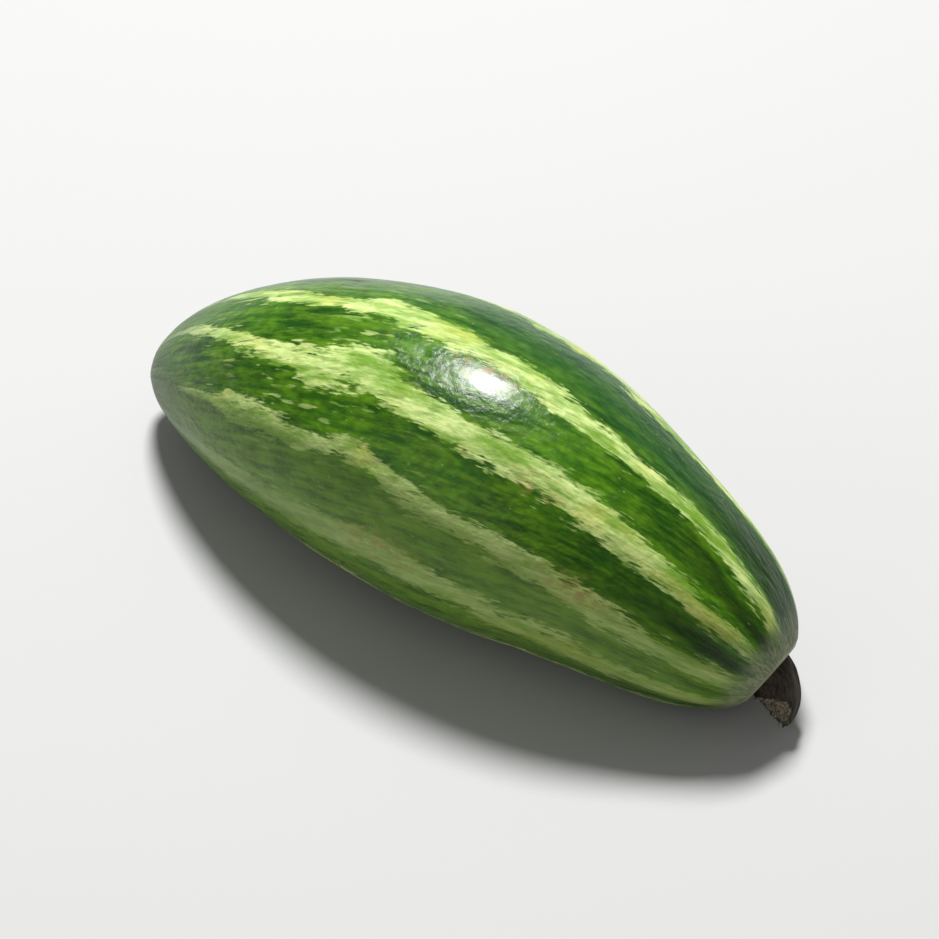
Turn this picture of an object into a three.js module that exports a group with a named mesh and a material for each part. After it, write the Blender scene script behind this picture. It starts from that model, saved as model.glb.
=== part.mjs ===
// A pointed gourd, picked whole and laid down on its flatter side: the striped fruit, and the short dry
// stub of stalk that stays on its stem end.
//
// Millimetres, +Z up. The fruit lies along X with its stem end towards +X, its arched back up and its
// flatter side on the floor, z = 0. The origin is under the middle of the whole gourd.

import * as THREE from "three";

// The fruit's middle line runs from the blossom end to the stem end. A share of 0 to 1 says how far along.
const LENGTH = 88; // blossom end to stem end, in a straight line
const GREATEST_RADIUS = 17.65;
const WIDEST_AT = 0.505; // share
const ARCH = 11.75; // the middle line's rise above its two ends
const SIDE_BEND = 0.8; // the middle line's bow towards -Y
const SETTLED_TILT = 1.0; // rise of the stem end over the blossom end, once the fruit has settled

// Each half swells from its end to the widest place as radius = greatest * (1 - distance^power)^root.
const BLOSSOM_HALF = { power: 1.8, root: 0.638 }; // drawn out to a blunt point
const STEM_HALF = { power: 1.7, root: 0.415 }; // broad-shouldered

// The slight waist in front of the shoulder. It goes all round, a little deeper on the flatter side, and
// shallower by the fill at one turn, in degrees from the back towards -Y, and around it.
const WAIST = { share: 0.8, spread: 0.13, depth: 0.95, belly: 0.45 };
const WAIST_FILL = { depth: 0.5, turn: 120, spread: 40 };

// Relief of the skin. Turns are degrees from the back towards -Y.
const RIB_TURNS = [-45, 0, 30, 61, 93, 130, 167, 204, 241, 278];
const RIB_HALF_WIDTH = 9; // degrees
const RIB_RISE = { middle: 0.16, shoulder: 0.5 };
const SHOULDER = { from: 0.6, to: 0.97 }; // shares between which the ribs gain their full rise
const RIBS_BELOW = 0.62; // share of the greatest radius under which the ribs die out
const LOBES = { count: 3, rise: 0.22, turn: 25 }; // the fruit grew from three carpels
const FLAT_SPOT_DEPTH = 0.4; // how much of the round belly is pressed flat where it rests

// The stem end: a low rim round a shallow seat, and the stub standing in the seat.
const RIM_SHARE = 0.986; // where the skin turns over into the rim
const RIM = [
  { radius: 4.62, out: 0.16 },
  { radius: 4.25, out: 0.32 },
  { radius: 3.9, out: 0.42 },
  { radius: 3.6, out: 0.36 },
  { radius: 3.45, out: -0.3 },
]; // rings from the skin inwards; out is measured along the middle line from the last ring of skin
const RIM_WAVE = { rise: 0.12, level: 0.5 }; // the rim stands out by the rise at ribs, from the level
const SEAT_OUT = -0.4;

// The stub: flared where it leaves the fruit, drooping, and torn off short.
const STUB_GAP = 0.3; // clearance between the stub and its seat
const STUB_LENGTH = 4.4;
const STUB_BEND = { angle: 72, turn: 133 }; // degrees over its length, and the side it bends to
const STUB_RADII = [3.1, 2.95, 2.75, 2.62, 2.58, 2.58, 2.58, 2.5]; // from the foot to the break
const STUB_CORNERS = { count: 5, rise: 0.2 }; // a stalk has five soft corners
const CORNERS_FROM = 2; // ring by which the corners have grown out of the round foot
const BREAK = { slant: 1.25, slantTurn: -120, tooth: 0.25, teeth: 7, hollow: 0.35 };

// Fineness of the faceted skin.
const ROUND_STEPS = 80;
const LENGTH_STEPS = 50;
const STUB_ROUND_STEPS = 30;

const degrees = THREE.MathUtils.degToRad;
const UP = new THREE.Vector3(0, 0, 1);

// A closed surface through rings of points, with a single point closing each end. Rings run from the first
// pole to the last, and each ring's points turn anticlockwise when seen from the last pole.
function closedSkin(firstPole, rings, lastPole) {
  const steps = rings[0].length;
  const points = [firstPole, ...rings.flat(), lastPole];
  const faces = [];
  const at = (ring, step) => 1 + ring * steps + (step % steps);
  const last = points.length - 1;
  for (let step = 0; step < steps; step += 1) {
    faces.push(0, at(0, step + 1), at(0, step));
    faces.push(last, at(rings.length - 1, step), at(rings.length - 1, step + 1));
  }
  for (let ring = 0; ring + 1 < rings.length; ring += 1) {
    for (let step = 0; step < steps; step += 1) {
      const [a, b] = [at(ring, step), at(ring, step + 1)];
      const [c, d] = [at(ring + 1, step), at(ring + 1, step + 1)];
      faces.push(a, b, d, a, d, c);
    }
  }
  const geometry = new THREE.BufferGeometry().setFromPoints(points);
  geometry.setIndex(faces);
  geometry.computeVertexNormals();
  return geometry;
}

// The middle line at a share of the length.
function middleLine(share) {
  const bow = 1 - (2 * share - 1) ** 2;
  const x = (share - 0.5) * LENGTH;
  return new THREE.Vector3(x, -SIDE_BEND * bow, ARCH * bow + SETTLED_TILT * (share - 0.5));
}

// The directions of the section there: along the line, up across it, and across it towards -Y.
function section(share) {
  const step = 1e-4;
  const along = middleLine(share + step).sub(middleLine(share - step)).normalize();
  const side = new THREE.Vector3().crossVectors(along, UP).normalize();
  const up = new THREE.Vector3().crossVectors(side, along);
  return { along, side, up };
}

function plainRadius(share) {
  const towardsBlossom = share < WIDEST_AT;
  const { power, root } = towardsBlossom ? BLOSSOM_HALF : STEM_HALF;
  const halfLength = towardsBlossom ? WIDEST_AT : 1 - WIDEST_AT;
  const distance = Math.abs(share - WIDEST_AT) / halfLength;
  return GREATEST_RADIUS * (1 - distance ** power) ** root;
}

// How far the turn is from the nearest rib, as a bell that is 1 on the rib's crest.
function ribAt(turn) {
  return RIB_TURNS.reduce((sum, rib) => {
    const away = Math.asin(Math.sin((turn - degrees(rib)) / 2)) * 2;
    return sum + Math.exp(-((away / degrees(RIB_HALF_WIDTH)) ** 2));
  }, 0);
}

// The skin's relief over the plain radius: ribs and the three lobes, less the waist.
function relief(share, turn) {
  const swell = plainRadius(share) / GREATEST_RADIUS;
  const nearShoulder = THREE.MathUtils.smoothstep(share, SHOULDER.from, SHOULDER.to);
  const ribRise = THREE.MathUtils.lerp(RIB_RISE.middle, RIB_RISE.shoulder, nearShoulder);
  const ribs = ribRise * ribAt(turn) * Math.min(1, swell / RIBS_BELOW);
  const lobes = LOBES.rise * Math.cos(LOBES.count * (turn - degrees(LOBES.turn))) * swell;
  const belly = ((1 - Math.cos(turn)) / 2) ** 2;
  const waist = Math.exp(-(((share - WAIST.share) / WAIST.spread) ** 2));
  const awayFromFill = (turn - degrees(WAIST_FILL.turn)) / degrees(WAIST_FILL.spread);
  const fill = WAIST_FILL.depth * Math.exp(-(awayFromFill ** 2));
  return ribs + lobes - waist * (WAIST.depth + WAIST.belly * belly - fill);
}

// A ring of points round the middle line. radiusAt gives the radius for a turn, and out shifts the ring
// along the line.
function ring(share, out, radiusAt) {
  const { along, side, up } = section(share);
  const centre = middleLine(share).addScaledVector(along, out);
  return Array.from({ length: ROUND_STEPS }, (_, step) => {
    const turn = (2 * Math.PI * step) / ROUND_STEPS;
    const radius = radiusAt(turn);
    return centre
      .clone()
      .addScaledVector(up, radius * Math.cos(turn))
      .addScaledVector(side, radius * Math.sin(turn));
  });
}

function fruitRings() {
  const skin = Array.from({ length: LENGTH_STEPS - 1 }, (_, step) => {
    const share = (RIM_SHARE * (1 - Math.cos((Math.PI * (step + 1)) / LENGTH_STEPS))) / 2;
    return ring(share, 0, (turn) => plainRadius(share) + relief(share, turn));
  });
  const rim = RIM.map(({ radius, out }) => {
    return ring(RIM_SHARE, out, (turn) => radius + RIM_WAVE.rise * (ribAt(turn) - RIM_WAVE.level));
  });
  return [...skin, ...rim];
}

// Presses the belly flat where the fruit rests, and returns the height of that flat spot.
function pressFlat(rings) {
  const points = rings.flat();
  const floor = Math.min(...points.map((point) => point.z)) + FLAT_SPOT_DEPTH;
  points.forEach((point) => {
    point.z = Math.max(point.z, floor);
  });
  return floor;
}

function stubGeometry() {
  const { along, side, up } = section(RIM_SHARE);
  const bendTurn = degrees(STUB_BEND.turn);
  const bendSide = up.clone().multiplyScalar(Math.cos(bendTurn)).addScaledVector(side, Math.sin(bendTurn));
  const hinge = new THREE.Vector3().crossVectors(along, bendSide);
  const segments = STUB_RADII.length - 1;
  const foot = middleLine(RIM_SHARE).addScaledVector(along, SEAT_OUT + STUB_GAP);
  const centre = foot.clone();
  const heading = along.clone();
  const rings = STUB_RADII.map((radius, step) => {
    const bend = degrees((STUB_BEND.angle * step) / segments);
    heading.copy(along).applyAxisAngle(hinge, bend);
    if (step > 0) {
      centre.addScaledVector(heading, STUB_LENGTH / segments);
    }
    const across = up.clone().applyAxisAngle(hinge, bend);
    const aside = side.clone().applyAxisAngle(hinge, bend);
    const grown = Math.min(1, step / CORNERS_FROM);
    const torn = step === segments ? 1 : 0;
    return Array.from({ length: STUB_ROUND_STEPS }, (_, corner) => {
      const turn = (2 * Math.PI * corner) / STUB_ROUND_STEPS;
      const r = radius + STUB_CORNERS.rise * Math.cos(STUB_CORNERS.count * turn) * grown;
      const slant = BREAK.slant * Math.cos(turn - degrees(BREAK.slantTurn));
      const tooth = BREAK.tooth * Math.cos(BREAK.teeth * turn);
      return centre
        .clone()
        .addScaledVector(across, r * Math.cos(turn))
        .addScaledVector(aside, r * Math.sin(turn))
        .addScaledVector(heading, torn * (slant + tooth));
    });
  });
  return closedSkin(foot, rings, centre.clone().addScaledVector(heading, -BREAK.hollow));
}

const green = new THREE.MeshStandardMaterial({ color: 0x4d7a31, roughness: 0.38, metalness: 0 });
const dryBrown = new THREE.MeshStandardMaterial({ color: 0x3b2a1b, roughness: 0.85, metalness: 0 });

const rings = fruitRings();
const floor = pressFlat(rings);
const { along } = section(RIM_SHARE);
const seat = middleLine(RIM_SHARE).addScaledVector(along, SEAT_OUT);

const fruit = new THREE.Mesh(closedSkin(middleLine(0), rings, seat), green);
fruit.name = "fruit";
const stub = new THREE.Mesh(stubGeometry(), dryBrown);
stub.name = "stem_stub";

const gourd = new THREE.Group();
gourd.add(fruit, stub);
const box = new THREE.Box3().setFromObject(gourd);
const middle = box.getCenter(new THREE.Vector3());
gourd.position.set(-middle.x, -middle.y, -floor);

export default gourd;
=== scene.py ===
import math

import bpy
import numpy as np
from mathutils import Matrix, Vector


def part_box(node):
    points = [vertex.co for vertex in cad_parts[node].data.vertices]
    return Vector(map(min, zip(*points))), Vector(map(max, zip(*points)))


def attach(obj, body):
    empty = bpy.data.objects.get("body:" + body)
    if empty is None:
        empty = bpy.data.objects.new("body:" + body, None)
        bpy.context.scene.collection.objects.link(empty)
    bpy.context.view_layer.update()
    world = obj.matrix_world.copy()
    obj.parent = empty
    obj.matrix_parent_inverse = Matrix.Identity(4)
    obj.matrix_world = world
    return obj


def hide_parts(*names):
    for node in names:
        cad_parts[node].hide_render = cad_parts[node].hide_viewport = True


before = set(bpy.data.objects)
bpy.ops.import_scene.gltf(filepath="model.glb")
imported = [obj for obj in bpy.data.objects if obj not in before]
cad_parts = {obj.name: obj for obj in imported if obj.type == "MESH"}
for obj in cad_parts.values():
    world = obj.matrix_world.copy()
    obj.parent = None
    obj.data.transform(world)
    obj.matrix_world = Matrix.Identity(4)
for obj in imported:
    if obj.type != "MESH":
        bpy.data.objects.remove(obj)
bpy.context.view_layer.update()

# The camera. The gourd is seen from above and to one side, its stem end coming towards the viewer,
# through a long lens that hardly changes its proportions.
TURN_ROUND = math.radians(35.4)
LOOK_DOWN = math.radians(45)
DISTANCE = 0.8
SEEN_ACROSS = 0.108  # width of the view at the gourd

lens = bpy.data.cameras.new("lens")
lens.sensor_width = 36
lens.lens = 36 * DISTANCE / SEEN_ACROSS
lens.clip_start = 0.01
camera = bpy.data.objects.new("camera", lens)
bpy.context.collection.objects.link(camera)
bpy.context.scene.camera = camera
sight = Vector((
    math.sin(TURN_ROUND) * math.cos(LOOK_DOWN),
    -math.cos(TURN_ROUND) * math.cos(LOOK_DOWN),
    math.sin(LOOK_DOWN),
))
aim = Vector((0, 0, 0.0155))
camera.location = aim + sight * DISTANCE
camera.rotation_euler = sight.to_track_quat("Z", "Y").to_euler()

# The fruit. One closed skin grown round a gently arched middle line: drawn out to a blunt point at the
# blossom end, broad-shouldered at the stem end, where a low corky rim surrounds the seat of the stalk.
TO_MM = 1000  # the skin's noise is scaled in millimetres
LENGTH = 0.088
RADIUS = 0.01765
WIDEST_AT = 0.505  # share of the length
ARCH = 0.01175  # the middle line's rise above its two ends
SIDE_BEND = 0.0008  # the middle line's bow to the side that is seen
SETTLED_TILT = 0.001  # rise of the stem end over the blossom end
BLOSSOM_POWER, BLOSSOM_ROOT = 1.8, 0.638  # radius = greatest * (1 - distance^power)^root
STEM_POWER, STEM_ROOT = 1.7, 0.415
WAIST_SHARE = 0.80
WAIST_SPREAD = 0.13
WAIST_ON_BELLY = 0.00045  # how much deeper the waist is below
WAIST_FILL = 0.0005  # how much shallower it is low on the side that is seen
FILL_TURN, FILL_SPREAD = 120.0, 40.0  # degrees
RIB_HALF_WIDTH = 9.0  # degrees
LOBE_RISE = 0.00022
LOBE_TURN = math.radians(25)
SLOW_SWELL = 0.0009  # swells, dents and jags reach about a third of their noise's full height
DENT_DEPTH = 0.00018
RIM_SHARE = 0.986  # where the skin turns over into the rim
RIM_RADIUS = 0.00492
SEAT_DEPTH = 0.0004  # under the last ring of skin
RIM_WAVE = 0.00012  # how far the rim stands out at the ribs
RIM_UNEVENNESS = 0.00016
FLAT_SPOT_EASE = 0.00015  # how softly the flat spot joins the round belly
SCAR_RISE = 0.00025
SKIN_RINGS = 0.925  # the part of the rings that lies on the skin; the rest lies on the rim and seat
WELD = 2e-7  # corners nearer than this are one: those where the grid's edges meet

# The stripes, each by places along it: the share of the length and the turns of its two edges. Turns are
# degrees from the back towards the side that is seen, and a stripe begins at its first place.
STRIPES = [
    [(0.48, -50, -42), (0.62, -55, -38), (0.78, -53, -39), (1.00, -49, -40)],
    [
        (0.18, -9, -2), (0.27, -6, 3), (0.34, -4, 3), (0.41, -13, 2), (0.50, -10, 3), (0.60, -8, 3),
        (0.67, -7, 6), (0.75, -6, 3), (0.83, -6, 3), (0.91, -3, 10), (1.00, 3, 13),
    ],
    [
        (0.10, 17, 23), (0.19, 19, 28), (0.27, 24, 34), (0.36, 23, 36), (0.42, 15, 36), (0.49, 22, 35),
        (0.60, 24, 37), (0.69, 22, 37), (0.80, 25, 38), (0.90, 27, 41), (1.00, 32, 44),
    ],
    [
        (0.20, 56, 61), (0.30, 51, 65), (0.38, 54, 63), (0.46, 51, 60), (0.54, 56, 69), (0.66, 57, 69),
        (0.78, 58, 74), (0.88, 61, 78), (1.00, 62, 74),
    ],
    [(0.16, 85, 96), (0.30, 87, 104), (0.50, 83, 101), (0.66, 87, 105), (0.82, 90, 110), (1.00, 92, 104)],
    [(0.22, 124, 134), (0.38, 120, 136), (0.55, 124, 138), (0.72, 123, 140), (1.00, 128, 138)],
    [
        (0.15, 163, 170), (0.30, 159, 172), (0.48, 163, 173), (0.66, 158, 174), (0.84, 160, 171),
        (1.00, 161, 171),
    ],
    [(0.19, 198, 207), (0.36, 195, 211), (0.52, 199, 209), (0.70, 196, 212), (1.00, 202, 212)],
    [
        (0.13, 237, 244), (0.29, 234, 249), (0.46, 238, 247), (0.64, 233, 248), (0.82, 236, 246),
        (1.00, 234, 243),
    ],
    [(0.24, 274, 282), (0.42, 271, 287), (0.60, 275, 284), (0.80, 270, 284), (1.00, 272, 281)],
]


class Wire:
    """An output of a node tree. Arithmetic on it adds Math nodes to the tree."""

    def __init__(self, tree, socket=None):
        self.tree = tree
        self.socket = socket

    @staticmethod
    def find(sockets, name):
        return next(s for s in sockets if name in (s.identifier, s.name))

    def node(self, kind, inputs=None, output=None, points=None, **settings):
        """Adds a node. Points are those of its curve, and settings are the node's own properties."""
        made = self.tree.nodes.new(kind)
        for name, value in settings.items():
            setattr(made, name, value)
        if points:
            curve = made.mapping.curves[0].points
            while len(curve) < len(points):
                curve.new(0.5, 0.5)
            for point, place in zip(curve, points):
                point.location = place
            made.mapping.update()
        for name, value in (inputs or {}).items():
            socket = made.inputs[name] if isinstance(name, int) else self.find(made.inputs, name)
            if isinstance(value, Wire):
                self.tree.links.new(value.socket, socket)
            else:
                socket.default_value = value
        return Wire(self.tree, self.find(made.outputs, output) if output else made.outputs[0])

    def out(self, name):
        return Wire(self.tree, self.socket.node.outputs[name])

    def maths(self, operation, *values):
        return self.node("ShaderNodeMath", dict(enumerate((self,) + values)), operation=operation)

    def __add__(self, other):
        return self.maths("ADD", other)

    def __radd__(self, other):
        return self.maths("ADD", other)

    def __sub__(self, other):
        return self.maths("SUBTRACT", other)

    def __rsub__(self, other):
        return self.node("ShaderNodeMath", {0: other, 1: self}, operation="SUBTRACT")

    def __mul__(self, other):
        return self.maths("MULTIPLY", other)

    def __rmul__(self, other):
        return self.maths("MULTIPLY", other)

    def __truediv__(self, other):
        return self.maths("DIVIDE", other)

    def __pow__(self, other):
        return self.maths("POWER", other)

    def cos(self):
        return self.maths("COSINE")

    def sin(self):
        return self.maths("SINE")

    def least(self, other):
        return self.maths("MINIMUM", other)

    def most(self, other):
        return self.maths("MAXIMUM", other)

    def below(self, other):
        return self.maths("LESS_THAN", other)

    def bell(self, middle, spread):
        """1 where the wire is at the middle, falling smoothly to 0 on both sides."""
        away = (self - middle) / spread
        return self.node("ShaderNodeMath", {0: math.e, 1: away * away * -1}, operation="POWER")

    def ease(self, start, end):
        """0 up to the start and 1 from the end on, with a smooth step between them."""
        return self.node(
            "ShaderNodeMapRange",
            {"Value": self, "From Min": start, "From Max": end},
            interpolation_type="SMOOTHSTEP",
        )

    def point(self, x, y, z):
        return self.node("ShaderNodeCombineXYZ", {0: x, 1: y, 2: z})

    def parts(self):
        split = self.node("ShaderNodeSeparateXYZ", {0: self})
        return split, split.out("Y"), split.out("Z")

    def vector(self, operation, *others):
        inputs = dict(enumerate((self,) + others))
        return self.node("ShaderNodeVectorMath", inputs, operation=operation)

    def times(self, amount):
        return self.node("ShaderNodeVectorMath", {0: self, "Scale": amount}, operation="SCALE")

    def noise(self, scale, detail=2.0, rough=0.5):
        """Noise from 0 to 1 round 0.5 at this place, with scale lumps to a unit."""
        inputs = {"Vector": self, "Scale": scale, "Detail": detail, "Roughness": rough}
        return self.node("ShaderNodeTexNoise", inputs)


class Maker(Wire):
    """A Geometry Nodes tree with named inputs, and the modifier that runs it."""

    def __init__(self, name, **inputs):
        tree = bpy.data.node_groups.new(name, "GeometryNodeTree")
        kinds = {float: "NodeSocketFloat", int: "NodeSocketInt", bpy.types.Material: "NodeSocketMaterial"}
        self.settings = {}
        for title, value in inputs.items():
            label = title.replace("_", " ")
            made = tree.interface.new_socket(name=label, in_out="INPUT", socket_type=kinds[type(value)])
            self.settings[made.identifier] = value
        tree.interface.new_socket(name="Mesh", in_out="OUTPUT", socket_type="NodeSocketGeometry")
        self.entry = tree.nodes.new("NodeGroupInput")
        self.exit = tree.nodes.new("NodeGroupOutput")
        super().__init__(tree)

    def given(self, title):
        return Wire(self.tree, self.entry.outputs[title.replace("_", " ")])

    def keep(self, geometry, name, value, kind="FLOAT"):
        """Writes a value on every point, under a name that the material reads."""
        inputs = {"Geometry": geometry, "Name": name, "Value": value}
        return self.node("GeometryNodeStoreNamedAttribute", inputs, data_type=kind, domain="POINT")

    def make(self, name, geometry):
        """Runs the tree on an empty mesh and returns its result as a plain object."""
        self.tree.links.new(geometry.socket, self.exit.inputs[0])
        holder = bpy.data.objects.new(name + "_holder", bpy.data.meshes.new(name + "_holder"))
        bpy.context.collection.objects.link(holder)
        modifier = holder.modifiers.new("maker", "NODES")
        modifier.node_group = self.tree
        for identifier, value in self.settings.items():
            modifier[identifier] = value
        evaluated = holder.evaluated_get(bpy.context.evaluated_depsgraph_get())
        mesh = bpy.data.meshes.new_from_object(evaluated)
        bpy.data.objects.remove(holder)
        mesh.name = name
        piece = bpy.data.objects.new(name, mesh)
        bpy.context.collection.objects.link(piece)
        return piece


def paint(red, green, blue):
    """A colour as a screen shows it, 0 to 255, turned into the linear light that a shader takes."""
    shown = (red / 255, green / 255, blue / 255)
    linear = (c / 12.92 if c <= 0.04045 else ((c + 0.055) / 1.055) ** 2.4 for c in shown)
    return (*linear, 1.0)


class Finish(Wire):
    """A material's node tree, with its Principled shader."""

    def __init__(self, name):
        self.material = bpy.data.materials.new(name)
        self.material.use_nodes = True
        super().__init__(self.material.node_tree)
        self.shader = self.tree.nodes["Principled BSDF"]

    def attribute(self, name, output="Fac"):
        return self.node("ShaderNodeAttribute", output=output, attribute_name=name)

    def mix(self, amount, first, second):
        inputs = {"Factor_Float": amount, "A_Color": first, "B_Color": second}
        return self.node("ShaderNodeMix", inputs, "Result_Color", data_type="RGBA")

    def set(self, **sockets):
        for title, value in sockets.items():
            socket = self.shader.inputs[title.replace("_", " ")]
            if isinstance(value, Wire):
                self.tree.links.new(value.socket, socket)
            else:
                socket.default_value = value


# The skin's colours.
DEEP_GREEN = paint(20, 64, 2)
LEAF_GREEN = paint(46, 94, 4)
FRESH_GREEN = paint(94, 138, 14)
SKY_REFLECTION_GREEN = paint(20, 64, 40)
CELL_GREEN = paint(14, 46, 2)
FLANK_SHEEN_GREEN = paint(104, 140, 40)
GROOVE_SHADE_GREEN = paint(16, 40, 2)
STRIPE_GREEN = paint(104, 142, 44)
STRIPE_CREAM = paint(190, 206, 132)
STRIPE_YELLOW = paint(196, 196, 104)
VEIN_GREEN = paint(104, 146, 50)
FLANK_SHADE_STRIPE = paint(128, 156, 70)
TIP_STRIPE = paint(140, 160, 112)
PORE_COLOUR = paint(150, 172, 100)
BLOOM_DARK, BLOOM_LIGHT = paint(34, 62, 24), paint(84, 110, 60)
SCAR_BROWN = paint(92, 74, 46)
CORK_DARK, CORK_LIGHT = paint(98, 114, 76), paint(164, 168, 134)
LIP_COLOUR = paint(166, 168, 138)
SEAT_BROWN = paint(58, 50, 30)
RUB_BROWN = paint(148, 112, 68)

# The skin's finish: dark waxy green, streaked and pebbled, with pale stripes whose feathered edges break
# into flecks along the fruit. Its noise is stretched along the fruit, and a little slanted.
STREAK_STRETCH = (0.26, 1.0, 1.0)
BRUSH_STRETCH = (0.36, 1.0, 1.0)
SLANT = 0.010  # radians round the fruit for each millimetre along it
skin = Finish("gourd_skin")
at = skin.attribute("unrolled", "Vector")
stripe = skin.attribute("stripe")
rim = skin.attribute("rim")
along, _, sideways = at.parts()
share = along * (1 / (LENGTH * TO_MM))
slanted = skin.node(
    "ShaderNodeVectorRotate",
    {"Vector": at, "Angle": along * SLANT},
    rotation_type="X_AXIS",
)
streaked = slanted.vector("MULTIPLY", STREAK_STRETCH)
brushed = slanted.vector("MULTIPLY", BRUSH_STRETCH)

ragged = (streaked.noise(0.36, detail=1.0) - 0.5) * 1.5
feathered = (brushed.noise(1.15, detail=2.5, rough=0.65) - 0.5) * 2.1
fringe = (streaked.noise(4.2, detail=1.0) - 0.5) * 0.9
ragged_stripe = stripe + ragged + feathered + fringe
pale = ragged_stripe.ease(-0.05, 0.40)
fleck_zone = stripe.ease(-2.4, -0.3) * share.ease(0.66, 0.30) * share.ease(0.10, 0.20)
flecks = streaked.vector("ADD", (31.0, 0.0, 0.0)).noise(1.3, detail=1.5).ease(0.60, 0.68) * fleck_zone
gaps = streaked.vector("ADD", (57.0, 0.0, 0.0)).noise(1.7, detail=2.0).ease(0.55, 0.68) * 0.75
thin_start = share.ease(0.42, 0.18) * 0.5
pale = (pale * (1 - gaps * (thin_start + 0.45))).most(flecks * 0.7)
# The lower flank that is seen, where light is painted: a milky sheen that lightens the greens and shade
# that dulls the stripes.
flank_painted_light = sideways.ease(13.5, 17.2)
pale = pale * (1 - flank_painted_light * share.ease(0.60, 0.30) * 0.55)
uneven = (at.noise(0.5, detail=3.0, rough=0.6) - 0.5) * 0.03
pale = pale * (share + uneven).ease(0.982, 0.945)

# Colours of the skin between the stripes: patches and streaks of fresh green, and painted light over them:
# a bluer painted reflection of the sky on the far side, a lighter, duller painted sheen on the flank, and
# the darkest painted shade in the grooves between the stripes' ends at the stem.
patches = at.noise(0.10, detail=2.0).ease(0.36, 0.64)
streaks = streaked.noise(0.9, detail=3.0, rough=0.62).ease(0.34, 0.68)
green = skin.mix(patches, DEEP_GREEN, LEAF_GREEN)
green = skin.mix(streaks * 0.6, green, FRESH_GREEN)
# Painted reflection of the sky: a bluer green on the far upper side.
sky_reflection = sideways.ease(1.0, -8.0) * share.ease(0.30, 0.55)
green = skin.mix(sky_reflection * 0.6, green, SKY_REFLECTION_GREEN)
cells = at.node(
    "ShaderNodeTexVoronoi",
    {"Vector": at, "Scale": 1.15, "Randomness": 1.0},
    feature="SMOOTH_F1",
)
green = skin.mix(cells.ease(0.20, 0.80) * 0.4, green, CELL_GREEN)
# Painted sheen: a lighter olive green on the lower flank.
green = skin.mix(flank_painted_light * (streaks * 0.45 + 0.35), green, FLANK_SHEEN_GREEN)
# Painted shade: the darkest green in the grooves between the stripes' ends at the stem.
groove_shade = stripe.ease(-0.2, -1.1) * share.ease(0.74, 0.92)
green = skin.mix(groove_shade * 0.75, green, GROOVE_SHADE_GREEN)

# Colours of the stripes, yellower in some places, and duller towards the flank with painted shade and
# sheen.
tone = streaked.noise(0.5, detail=4.0, rough=0.7).ease(0.36, 0.64)
light = skin.mix(tone, STRIPE_GREEN, STRIPE_CREAM)
yellow = at.noise(0.16, detail=1.0).ease(0.50, 0.72)
light = skin.mix(yellow * 0.5, light, STRIPE_YELLOW)
veins = streaked.noise(3.0, detail=2.0).ease(0.44, 0.62)
light = skin.mix(veins * 0.35, light, VEIN_GREEN)
# Painted shade and sheen: duller stripes on the flank.
light = skin.mix(flank_painted_light * 0.55, light, FLANK_SHADE_STRIPE)
light = skin.mix(share.ease(0.24, 0.10) * 0.7, light, TIP_STRIPE)
colour = skin.mix(pale, green, light)

# Tiny pale pores, dull bloom at the blossom end, and the corky rim at the stem end.
pores = at.node("ShaderNodeTexVoronoi", {"Vector": at, "Scale": 0.62, "Randomness": 1.0})
pore_draw, _, _ = pores.out("Color").parts()
pore = pores.ease(0.115, 0.07) * pore_draw.ease(0.45, 0.55)
colour = skin.mix(pore * 0.30, colour, PORE_COLOUR)
tip = share.ease(0.20, 0.05)
dull_streaks = streaked.noise(0.7, detail=3.0).ease(0.35, 0.7)
dull = skin.mix(dull_streaks, BLOOM_DARK, BLOOM_LIGHT)
colour = skin.mix(tip * 0.75, colour, dull)
scar = share.ease(0.0032, 0.0012)
colour = skin.mix(scar, colour, SCAR_BROWN)
near_rim = (share + uneven).ease(0.952, 0.983)
cork_grain = at.noise(1.6, detail=4.0, rough=0.7).ease(0.35, 0.66)
cork = skin.mix(cork_grain, CORK_DARK, CORK_LIGHT)
colour = skin.mix(near_rim * 0.85, colour, cork)
lip = rim.bell(0.35, 0.25) * rim.ease(0.0, 0.15)
colour = skin.mix(lip * 0.7, colour, LIP_COLOUR)
colour = skin.mix(rim.ease(0.55, 0.85), colour, SEAT_BROWN)

# Rubs and scuffs, where the fruit has lain against others: share of the length, turn and reach in
# millimetres of each.
RUBS = ((0.67, 33, 1.9), (0.76, 63, 2.6), (0.55, 4, 2.2), (0.52, 90, 3.2), (0.35, 200, 2.6))
rub_noise = at.noise(0.9, detail=4.0, rough=0.65)
rubs = None
for rub_share, rub_turn, size in RUBS:
    rub_angle = math.radians(rub_turn)
    where = Vector((rub_share * LENGTH, math.cos(rub_angle) * RADIUS, math.sin(rub_angle) * RADIUS)) * TO_MM
    away = at.vector("SUBTRACT", tuple(where)).vector("MULTIPLY", (0.55, 1.0, 1.0))
    reach = away.node("ShaderNodeVectorMath", {0: away}, "Value", operation="LENGTH") * (1 / size)
    this_rub = (1.15 - reach).most(0.0) * rub_noise.ease(0.46, 0.60)
    rubs = this_rub if rubs is None else rubs.most(this_rub)
rubs = rubs.least(1.0)
colour = skin.mix(rubs * 0.62, colour, RUB_BROWN)

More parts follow.
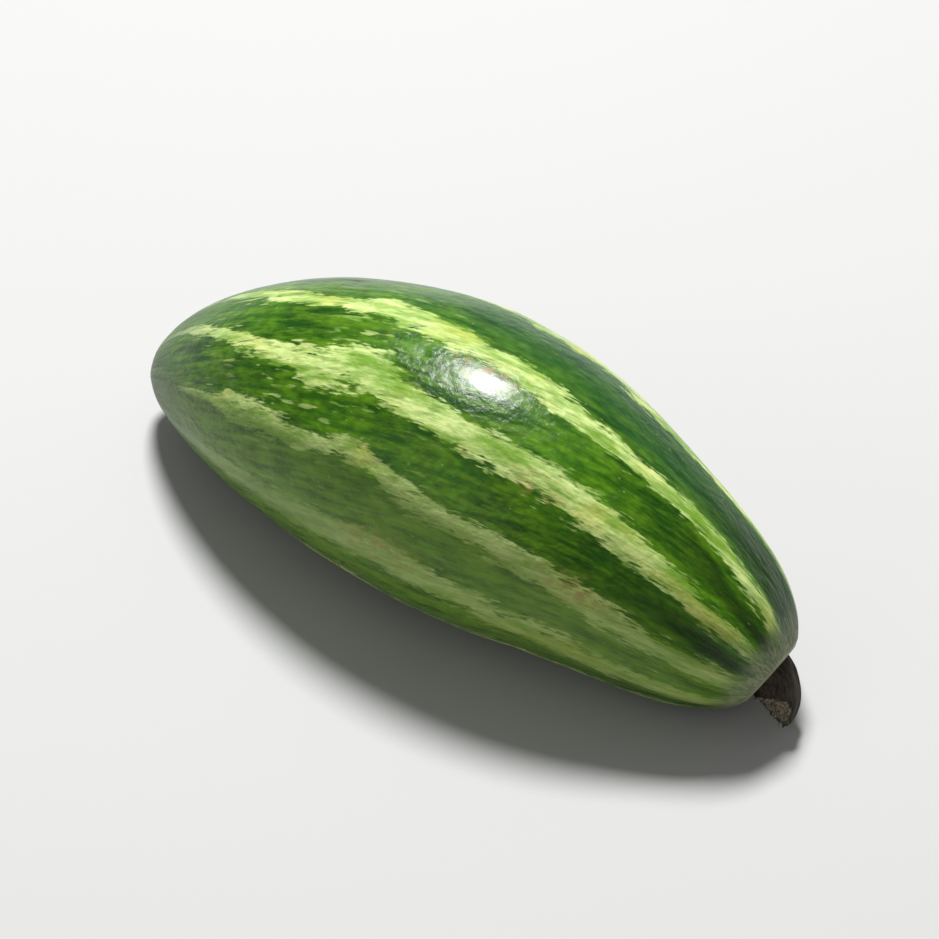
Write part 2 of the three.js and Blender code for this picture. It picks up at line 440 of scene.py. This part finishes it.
rough = streaks * 0.06 + pale * 0.05 + tip * 0.18 + near_rim * 0.30 + rubs * 0.15 + 0.27
fine = at.vector("MULTIPLY", (0.8, 1.0, 1.0)).noise(2.4, detail=3.0, rough=0.6)
lumps = at.noise(1.05, detail=1.5)
cracks = at.vector("MULTIPLY", (0.2, 1.0, 1.0)).noise(3.0, detail=3.0, rough=0.7) * near_rim
relief_height = fine * 0.5 + lumps * 1.2 + pore * 0.25 + cracks * 2.5 + pale * 0.3
bump = skin.node("ShaderNodeBump", {"Height": relief_height, "Strength": 0.5, "Distance": 0.0002})
skin.set(
    Base_Color=colour, Roughness=rough, Normal=bump,
    IOR=1.45, Specular_IOR_Level=0.20, Coat_Weight=0.18, Coat_Roughness=0.18,
    Subsurface_Weight=0.05, Subsurface_Radius=(0.0012, 0.0018, 0.0006),
)

fruit = Maker(
    "Gourd fruit",
    Rings=236, Steps_round=320, Seed=7,
    Length=LENGTH, Greatest_radius=RADIUS, Arch=ARCH, Side_bend=SIDE_BEND, Settled_tilt=SETTLED_TILT,
    Rib_rise=0.0005, Waist_depth=0.00095, Pebble_rise=0.00005, Flat_spot_depth=0.0004,
    Skin=skin.material,
)
grid_size = {
    "Size X": 1.0,
    "Size Y": 1.0,
    "Vertices X": fruit.given("Rings"),
    "Vertices Y": fruit.given("Steps_round"),
}
grid = fruit.node("GeometryNodeMeshGrid", grid_size)
across_grid, along_turn, _ = fruit.node("GeometryNodeInputPosition").parts()
progress = across_grid + 0.5
turn_degrees = (along_turn + 0.5) * 360
turn = turn_degrees * (math.pi / 180)
on_skin = (progress / SKIN_RINGS).least(1.0)
on_rim = ((progress - SKIN_RINGS) / (1 - SKIN_RINGS)).most(0.0)
share = (1 - (on_skin * math.pi).cos()) * (RIM_SHARE / 2)

# The plain swelling: each half follows greatest * (1 - distance^power)^root from the widest place.
to_blossom = share.below(WIDEST_AT)
to_stem = 1 - to_blossom
distance = (share - WIDEST_AT).maths("ABSOLUTE") / (to_blossom * WIDEST_AT + to_stem * (1 - WIDEST_AT))
power = to_blossom * BLOSSOM_POWER + to_stem * STEM_POWER
root = to_blossom * BLOSSOM_ROOT + to_stem * STEM_ROOT
swell = (1 - distance ** power).most(0.0) ** root
plain = swell * fruit.given("Greatest_radius")

# Place on the skin in millimetres, as if the fruit were straight: noise read there follows the skin.
unrolled = fruit.point(share * LENGTH, turn.cos() * RADIUS, turn.sin() * RADIUS).times(TO_MM)
seeded = unrolled.vector("ADD", fruit.point(fruit.given("Seed") * 13.7, 0.0, 0.0))


def course(values):
    """A value that changes smoothly along the fruit, given as pairs of share and value."""
    low = min(value for _, value in values)
    span = max(value for _, value in values) - low
    values = [(0, values[0][1])] + values
    points = [(place, (value - low) / span) for place, value in values]
    return fruit.node("ShaderNodeFloatCurve", {"Value": share}, points=points) * span + low


# Ribs stand under the stripes. Nearness is 1 on the middle of the nearest stripe, 0 on its edge, and less
# beyond it.
wander = (seeded.noise(0.09, detail=2.0) - 0.5) * 5
nearness = None
ribs = None
for stripe_edges in STRIPES:
    middle = course([(place, (one + other) / 2) for place, one, other in stripe_edges])
    half_width = course([(place, (other - one) / 2) for place, one, other in stripe_edges])
    away = (turn_degrees - middle - wander).maths("WRAP", 180.0, -180.0).maths("ABSOLUTE")
    fading = ((stripe_edges[0][0] - share) * 9).most(0.0)
    this_nearness = 1 - away / half_width - fading
    this_rib = away.bell(0.0, RIB_HALF_WIDTH)
    nearness = this_nearness if nearness is None else nearness.most(this_nearness)
    ribs = this_rib if ribs is None else ribs + this_rib

rib_rise = fruit.given("Rib_rise") * (share.ease(0.6, 0.97) * 0.68 + 0.32)
relief = ribs * rib_rise * (swell / 0.62).least(1.0)
relief = relief + ((turn - LOBE_TURN) * 3).cos() * swell * LOBE_RISE
belly = ((1 - turn.cos()) / 2) ** 2
fill = turn_degrees.bell(FILL_TURN, FILL_SPREAD) * WAIST_FILL
waist_depth = fruit.given("Waist_depth") + belly * WAIST_ON_BELLY - fill
relief = relief - share.bell(WAIST_SHARE, WAIST_SPREAD) * waist_depth

# Growth leaves no part of a real skin quite even: slow swells, shallow dents and a fine pebbling, which all
# die out in the rim.
bare = (1 - on_rim * 4).most(0.0)
slow = (seeded.noise(0.055, detail=1.0) - 0.5) * SLOW_SWELL
pebble_noise = seeded.vector("MULTIPLY", (0.6, 1.0, 1.0)).noise(0.8, detail=2.0) - 0.5
pebbles = pebble_noise * fruit.given("Pebble_rise") * 2
dents = seeded.noise(0.22, detail=1.0).ease(0.60, 0.78) * -DENT_DEPTH
relief = relief + (slow * swell.least(1.0) + pebbles + dents * swell) * bare

# The rim: the skin turns up into a low collar, over it, and down into the seat.
rim_radius = fruit.node(
    "ShaderNodeFloatCurve",
    {"Value": on_rim},
    points=[
        (0, 1.0), (0.16, 0.935), (0.32, 0.86), (0.46, 0.785), (0.58, 0.732),
        (0.70, 0.70), (0.86, 0.695), (1, 0),
    ],
) * RIM_RADIUS
rim_out = fruit.node(
    "ShaderNodeFloatCurve",
    {"Value": on_rim},
    points=[
        (0, 0.40), (0.16, 0.56), (0.32, 0.71), (0.46, 0.79), (0.58, 0.75),
        (0.70, 0.55), (0.86, 0.10), (1, 0),
    ],
)  # millimetres above the seat
rim_rise = rim_out * (1 / TO_MM) - SEAT_DEPTH
waves = (ribs - 0.5) * RIM_WAVE + (seeded.noise(0.9, detail=2.0) - 0.5) * RIM_UNEVENNESS
rim_end = on_rim.ease(0.86, 1.0)
collar = rim_radius + waves * (1 - rim_end)
joined = on_rim.ease(0.0, 0.16)
radius = (plain + relief) * (1 - joined) + collar * joined
scar = share.bell(0.0, 0.0022) * SCAR_RISE
out = rim_rise * joined + scar

# The middle line and the directions across it.
bow = 1 - (share * 2 - 1) ** 2.0
slope = (share * 2 - 1) * -4
middle_line = fruit.point(
    (share - 0.5) * fruit.given("Length"),
    bow * fruit.given("Side_bend") * -1,
    bow * fruit.given("Arch") + (share - 0.5) * fruit.given("Settled_tilt"),
)
tangent = fruit.point(
    fruit.given("Length"),
    slope * fruit.given("Side_bend") * -1,
    slope * fruit.given("Arch") + fruit.given("Settled_tilt"),
)
heading = tangent.vector("NORMALIZE")
aside = heading.vector("CROSS_PRODUCT", (0, 0, 1)).vector("NORMALIZE")
upward = aside.vector("CROSS_PRODUCT", heading)
place = middle_line.vector("ADD", heading.times(out))
place = place.vector("ADD", upward.times(radius * turn.cos()))
place = place.vector("ADD", aside.times(radius * turn.sin()))

kept = fruit.keep(grid, "unrolled", unrolled, "FLOAT_VECTOR")
kept = fruit.keep(kept, "stripe", nearness)
kept = fruit.keep(kept, "rim", on_rim)
grown = fruit.node("GeometryNodeSetPosition", {"Geometry": kept, "Position": place})

# The belly is pressed flat where the fruit rests, and eases into the round skin beside it.
height = fruit.node("GeometryNodeInputPosition")
lowest = fruit.node(
    "GeometryNodeAttributeStatistic",
    {"Geometry": grown, "Attribute": height},
    output="Min",
    data_type="FLOAT_VECTOR",
)
x, y, z = height.parts()
_, _, lowest_z = lowest.parts()
pressed = z.maths("SMOOTH_MAX", lowest_z + fruit.given("Flat_spot_depth"), FLAT_SPOT_EASE)
resting = fruit.node("GeometryNodeSetPosition", {"Geometry": grown, "Position": fruit.point(x, y, pressed)})
closed = fruit.node("GeometryNodeMergeByDistance", {"Geometry": resting, "Distance": WELD})
smooth = fruit.node("GeometryNodeSetShadeSmooth", {"Geometry": closed})
real = fruit.node("GeometryNodeRealizeInstances", {"Geometry": smooth})
covered = fruit.node("GeometryNodeSetMaterial", {"Geometry": real, "Material": fruit.given("Skin")})
fruit_piece = fruit.make("gourd_fruit", covered)


def points_of(piece):
    """A piece's corners, one to a row."""
    points = np.empty(len(piece.data.vertices) * 3)
    piece.data.vertices.foreach_get("co", points)
    return points.reshape(-1, 3)


def move(piece, shift):
    piece.data.vertices.foreach_set("co", (points_of(piece) + shift).ravel())
    piece.data.update()


# The middle line starts from plain numbers, so both pieces are moved together to where the solid fruit
# lies.
low, high = (np.array(corner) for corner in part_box("fruit"))
grown_low, grown_high = points_of(fruit_piece).min(0), points_of(fruit_piece).max(0)
to_frame = (low + high - grown_low - grown_high) / 2
to_frame[2] = low[2] - grown_low[2]
move(fruit_piece, to_frame)
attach(fruit_piece, "root")
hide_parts("fruit")

# The stub of stalk. A short woody remnant, dried almost black, that stands in the seat of the rim: flared
# at its foot, five-cornered, drooping towards the viewer, and torn off to a ragged, fibrous end.
STUB_LENGTH = 0.0044
STUB_BEND = math.radians(72)
FOOT_OUT = -0.0001  # how far out of the last ring of skin the foot stands
BEND_TURN = math.radians(133)
SLANT_TURN = math.radians(-120)  # the side on which the torn wall is longest
JAG = 0.0022
STRAND_DENSITY = 1.8e6  # loose fibres to a square metre
STRAND_FOOT, STRAND_TIP = 0.00009, 0.00001  # radii
STRAND_LEAN = 0.35
WALL = 0.74  # the part of the rings that lies on the wall; the rest lies on the torn face

BARK_DARK, BARK_LIGHT = paint(16, 12, 8), paint(62, 50, 34)
DUST = paint(100, 94, 72)
PITH_DARK, PITH_LIGHT = paint(78, 68, 54), paint(164, 154, 130)

stalk = Finish("dry_stalk")
grain = stalk.attribute("grain", "Vector")
torn = stalk.attribute("torn")
fibre = grain.vector("MULTIPLY", (0.30, 1.0, 1.0))
fibre_tone = fibre.noise(3.4, detail=3.0, rough=0.65).ease(0.36, 0.66)
dark = stalk.mix(fibre_tone, BARK_DARK, BARK_LIGHT)
dust = grain.noise(1.3, detail=3.0).ease(0.55, 0.75)
dark = stalk.mix(dust * 0.30, dark, DUST)
pith_tone = grain.noise(4.5, detail=3.0, rough=0.7).ease(0.38, 0.64)
pith = stalk.mix(pith_tone, PITH_DARK, PITH_LIGHT)
bark = stalk.mix(torn.ease(0.02, 0.22), dark, pith)
furrows = fibre.noise(5.0, detail=3.0, rough=0.7)
bark_bump = stalk.node("ShaderNodeBump", {"Height": furrows, "Strength": 0.8, "Distance": 0.00025})
stalk.set(Base_Color=bark, Roughness=0.82, Normal=bark_bump)

stub = Maker(
    "Stalk stub",
    Rings=90, Steps_round=150, Seed=3,
    Length=STUB_LENGTH, Foot_radius=0.0031, Corner_rise=0.0002, Fibre_rise=0.00022,
    Break_slant=0.00125, Break_hollow=0.00055, Strand_length=0.0005, Bark=stalk.material,
)
grid_size = {
    "Size X": 1.0,
    "Size Y": 1.0,
    "Vertices X": stub.given("Rings"),
    "Vertices Y": stub.given("Steps_round"),
}
grid = stub.node("GeometryNodeMeshGrid", grid_size)
across_grid, along_turn, _ = stub.node("GeometryNodeInputPosition").parts()
progress = across_grid + 0.5
turn = (along_turn + 0.5) * (2 * math.pi)
on_wall = (progress / WALL).least(1.0)
on_break = ((progress - WALL) / (1 - WALL)).most(0.0)

# The radius from the flared foot to the break, then inwards over the torn face.
girth = stub.node(
    "ShaderNodeFloatCurve",
    {"Value": on_wall},
    points=[(0, 1), (0.14, 0.952), (0.29, 0.887), (0.43, 0.845), (0.57, 0.832), (0.86, 0.832), (1, 0.8)],
) * stub.given("Foot_radius")
seed_shift = stub.point(stub.given("Seed") * 11.3, 0.0, 0.0)
wall_place = stub.point(on_wall * 1.6, turn.cos() * 2.2, turn.sin() * 2.2).vector("ADD", seed_shift)
fibres = wall_place.vector("MULTIPLY", (0.35, 1.0, 1.0)).noise(2.6, detail=3.0, rough=0.6) - 0.5
grown = on_wall.ease(0.05, 0.3)
corners = (turn * 5).cos() * stub.given("Corner_rise") * grown
wall_radius = girth + corners + fibres * stub.given("Fibre_rise") * (grown + 0.25)
radius = wall_radius * (1 - on_break)

# The break is slanted, hollow in the middle where the pith has shrunk, and jagged with fibre ends.
to_middle = 1 - on_break
face_place = stub.point(0.0, turn.cos() * to_middle, turn.sin() * to_middle).vector("ADD", seed_shift)
jagged = (face_place.noise(3.1, detail=3.0, rough=0.75) - 0.5) * JAG * (1 - on_break * 0.4)
slant = (turn - SLANT_TURN).cos() * stub.given("Break_slant") * to_middle
hollow = on_break.ease(0.0, 0.75) * stub.given("Break_hollow")
at_end = on_wall.ease(0.72, 1.0)
length_along = on_wall * stub.given("Length") + (slant + jagged) * at_end - hollow


def fruit_line(share):
    """A place on the fruit's middle line, in plain numbers."""
    bow = 1 - (2 * share - 1) ** 2
    return Vector(((share - 0.5) * LENGTH, -SIDE_BEND * bow, ARCH * bow + SETTLED_TILT * (share - 0.5)))


# The stub's middle line leaves the fruit straight on and bends evenly. Its directions come from the end of
# the fruit's own middle line.
outward = (fruit_line(RIM_SHARE + 1e-4) - fruit_line(RIM_SHARE - 1e-4)).normalized()
aside_end = outward.cross(Vector((0, 0, 1))).normalized()
upward_end = aside_end.cross(outward)
bend_side = upward_end * math.cos(BEND_TURN) + aside_end * math.sin(BEND_TURN)
hinge = -upward_end * math.sin(BEND_TURN) + aside_end * math.cos(BEND_TURN)

bent = length_along * (STUB_BEND / STUB_LENGTH)
curve_radius = STUB_LENGTH / STUB_BEND
towards_bend = (turn - BEND_TURN).cos() * radius
towards_hinge = (turn - BEND_TURN).sin() * radius
forward = bent.sin() * (curve_radius - towards_bend)
sideways_bend = curve_radius - bent.cos() * (curve_radius - towards_bend)
foot = fruit_line(RIM_SHARE) + outward * FOOT_OUT
place = stub.point(*foot)
for direction, amount in ((outward, forward), (bend_side, sideways_bend), (hinge, towards_hinge)):
    step = stub.node("ShaderNodeVectorMath", {0: tuple(direction), "Scale": amount}, operation="SCALE")
    place = place.vector("ADD", step)

grain_place = stub.point(length_along, turn.cos() * radius, turn.sin() * radius).times(TO_MM)
kept = stub.keep(grid, "grain", grain_place, "FLOAT_VECTOR")
kept = stub.keep(kept, "torn", on_break)
shaped = stub.node("GeometryNodeSetPosition", {"Geometry": kept, "Position": place})
closed = stub.node("GeometryNodeMergeByDistance", {"Geometry": shaped, "Distance": WELD})

# Loose strands of fibre stand on the torn face.
torn_part = stub.node("GeometryNodeInputNamedAttribute", {"Name": "torn"}, data_type="FLOAT")
on_face = torn_part.maths("GREATER_THAN", 0.06) * torn_part.below(0.8)
spots = stub.node(
    "GeometryNodeDistributePointsOnFaces",
    {"Mesh": closed, "Selection": on_face, "Density": STRAND_DENSITY, "Seed": stub.given("Seed")},
)
strand_shape = {
    "Vertices": 5,
    "Radius Top": STRAND_TIP,
    "Radius Bottom": STRAND_FOOT,
    "Depth": stub.given("Strand_length"),
}
strand = stub.node("GeometryNodeMeshCone", strand_shape)
strand_sizes = {"Min_001": 0.35, "Max_001": 1.0, "Seed": 5}
strand_size = stub.node("FunctionNodeRandomValue", strand_sizes, data_type="FLOAT")
end_heading = outward * math.cos(STUB_BEND) + bend_side * math.sin(STUB_BEND)
lean = {"Min": (-STRAND_LEAN,) * 3, "Max": (STRAND_LEAN,) * 3, "Seed": 9}
leaning = stub.node("FunctionNodeRandomValue", lean, data_type="FLOAT_VECTOR")
leaning = leaning.vector("ADD", tuple(end_heading))
standing = stub.node("FunctionNodeAlignRotationToVector", {"Vector": leaning}, axis="Z")
strands = stub.node(
    "GeometryNodeInstanceOnPoints",
    {"Points": spots, "Instance": strand, "Rotation": standing, "Scale": strand_size},
)
real_strands = stub.node("GeometryNodeRealizeInstances", {"Geometry": strands})
marked = stub.keep(real_strands, "torn", 0.5)
both = stub.node("GeometryNodeJoinGeometry", {"Geometry": marked})
stub.tree.links.new(closed.socket, both.socket.node.inputs["Geometry"])
smooth = stub.node("GeometryNodeSetShadeSmooth", {"Geometry": both})
real = stub.node("GeometryNodeRealizeInstances", {"Geometry": smooth})
covered = stub.node("GeometryNodeSetMaterial", {"Geometry": real, "Material": stub.given("Bark")})
stub_piece = stub.make("stalk_stub", covered)
move(stub_piece, to_frame)
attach(stub_piece, "root")
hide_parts("stem_stub")

# The floor and the light. A plain pale table under a soft lamp overhead and a little behind, with a large
# weak one in front and an even pale sky all round.
floor_mesh = bpy.data.meshes.new("table")
floor_mesh.from_pydata([(-2, -2, 0), (2, -2, 0), (2, 2, 0), (-2, 2, 0)], [], [(0, 1, 2, 3)])
floor = bpy.data.objects.new("table", floor_mesh)
bpy.context.collection.objects.link(floor)
TABLE_GREY = (0.43, 0.43, 0.425, 1.0)
table = Finish("pale_table")
table.set(Base_Color=TABLE_GREY, Roughness=0.7)
floor_mesh.materials.append(table.material)


def lamp(name, towards, distance, size, power):
    light = bpy.data.lights.new(name, "AREA")
    light.shape = "DISK"
    light.size = size
    light.energy = power
    piece = bpy.data.objects.new(name, light)
    piece.location = Vector((0, 0, 0.02)) + Vector(towards).normalized() * distance
    piece.rotation_euler = Vector(towards).to_track_quat("Z", "Y").to_euler()
    bpy.context.collection.objects.link(piece)


lamp("key", towards=(-0.27, 0.32, 0.91), distance=0.75, size=0.19, power=10.2)
lamp("fill", towards=(-0.3, -0.9, 0.4), distance=1.2, size=1.0, power=1.5)
bpy.context.scene.view_settings.view_transform = "Standard"
sky = bpy.data.worlds.new("studio")
bpy.context.scene.world = sky
sky.use_nodes = True
sky.node_tree.nodes["Background"].inputs["Color"].default_value = (1, 1, 1, 1)
sky.node_tree.nodes["Background"].inputs["Strength"].default_value = 0.27
